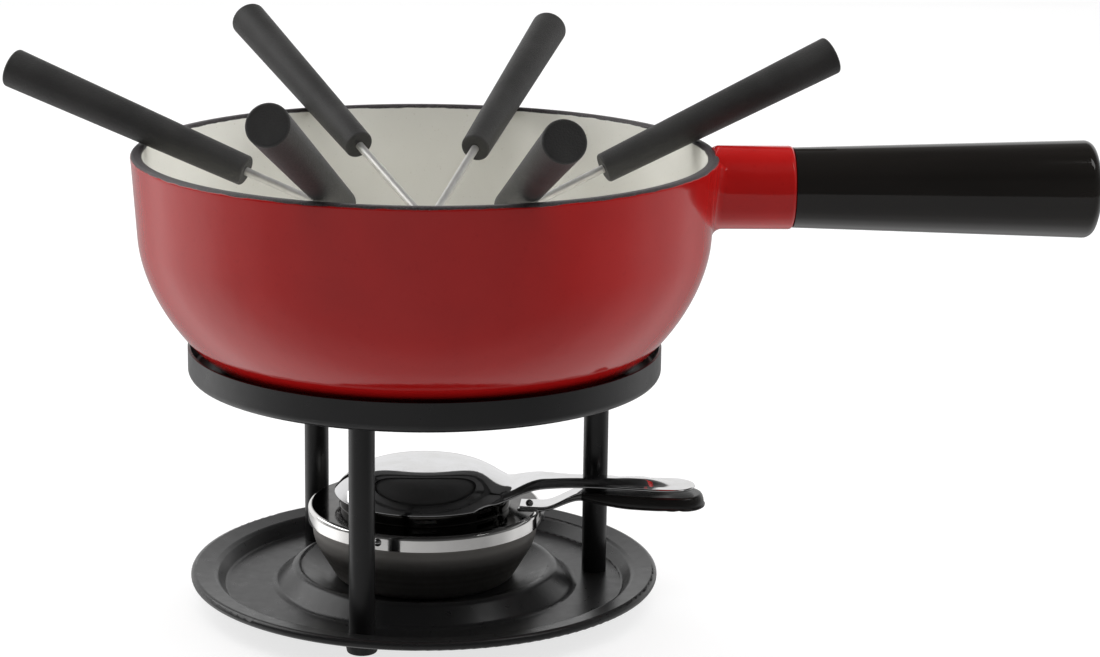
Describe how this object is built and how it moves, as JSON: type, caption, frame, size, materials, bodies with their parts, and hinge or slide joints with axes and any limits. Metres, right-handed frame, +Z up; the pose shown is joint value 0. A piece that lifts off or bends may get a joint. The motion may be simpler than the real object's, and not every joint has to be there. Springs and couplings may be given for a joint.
{
  "type": "fondue pot set",
  "caption": "Round enamelled pot with side handle on a three-post stand, spirit burner with regulator and snuffer lid, and long forks leaning on the rim.",
  "frame": {"origin": "on the table plane under the feet, on the vertical axis of pot, ring, burner and tray", "axes": "+Z up; +X along the pot's handle; the front, where the burner goes in, faces -Y"},
  "size_m": [0.4157, 0.3144, 0.2184],
  "materials": {
    "enamel": "glossy red vitreous enamel outside, cream enamel inside, bare dark rim",
    "grip_black": "polished black moulded phenolic",
    "stand_black": "satin black stove enamel",
    "screw_steel": "zinc-plated steel",
    "stud_steel": "plated steel rod",
    "insert_brass": "turned brass",
    "foot_rubber": "matte black rubber",
    "bowl_steel": "spun stainless steel with fine circular brushing",
    "chrome": "mirror chrome",
    "pad_fibre": "white fibre wadding",
    "mesh_steel": "woven stainless wire",
    "fork_grip": "matte black moulded plastic with fine spark texture",
    "fork_steel": "polished stainless steel wire"
  },
  "bodies": {
    "stand": {"base_tray": "stand_black", "support_ring": "stand_black", "ring_screws": "screw_steel", "foot_screws": "screw_steel", "post_front": "stand_black", "post_right": "stand_black", "post_left": "stand_black", "foot_front": "foot_rubber", "foot_right": "foot_rubber", "foot_left": "foot_rubber"},
    "pot": {"pot_body": "enamel", "handle_stud": "stud_steel", "handle_insert": "insert_brass", "handle_grip": "grip_black"},
    "burner": {"burner_bowl": "bowl_steel", "burner_pad": "pad_fibre", "burner_mesh": "mesh_steel", "burner_top": "chrome"},
    "regulator": {"regulator_ring": "chrome", "regulator_handle": "chrome", "regulator_rivets": "chrome"},
    "lid": {"snuffer_lid": "chrome"},
    "fork_1": {"fork_1_grip": "fork_grip", "fork_1_prongs": "fork_steel"},
    "fork_2": {"fork_2_grip": "fork_grip", "fork_2_prongs": "fork_steel"},
    "fork_3": {"fork_3_grip": "fork_grip", "fork_3_prongs": "fork_steel"},
    "fork_4": {"fork_4_grip": "fork_grip", "fork_4_prongs": "fork_steel"},
    "fork_5": {"fork_5_grip": "fork_grip", "fork_5_prongs": "fork_steel"},
    "fork_6": {"fork_6_grip": "fork_grip", "fork_6_prongs": "fork_steel"}
  },
  "joints": [
    {"name": "pot_lift", "type": "slide", "parent": "stand", "child": "pot", "axis": [0, 0, 1], "range_m": [0, 0.12]},
    {"name": "burner_lift", "type": "slide", "parent": "stand", "child": "burner", "axis": [0, 0, 1], "range_m": [0, 0.01]},
    {"name": "regulator_turn", "type": "hinge", "parent": "burner", "child": "regulator", "pos_m": [0, 0, 0.0377], "axis": [0, 0, 1], "range_deg": [-22.5, 0]},
    {"name": "lid_lift", "type": "slide", "parent": "burner", "child": "lid", "axis": [0, 0, 1], "range_m": [0, 0.02]},
    {"name": "fork_1_draw", "type": "slide", "parent": "pot", "child": "fork_1", "axis": [-0.8906, 0.3086, 0.3341], "range_m": [0, 0.045]},
    {"name": "fork_2_draw", "type": "slide", "parent": "pot", "child": "fork_2", "axis": [-0.48, 0.7841, 0.3934], "range_m": [0, 0.045]},
    {"name": "fork_3_draw", "type": "slide", "parent": "pot", "child": "fork_3", "axis": [0.3238, 0.8744, 0.3613], "range_m": [0, 0.045]},
    {"name": "fork_4_draw", "type": "slide", "parent": "pot", "child": "fork_4", "axis": [0.8843, 0.231, 0.4058], "range_m": [0, 0.045]},
    {"name": "fork_5_draw", "type": "slide", "parent": "pot", "child": "fork_5", "axis": [-0.2017, -0.8807, 0.4286], "range_m": [0, 0.045]},
    {"name": "fork_6_draw", "type": "slide", "parent": "pot", "child": "fork_6", "axis": [0.1454, -0.9085, 0.3917], "range_m": [0, 0.045]}
  ]
}
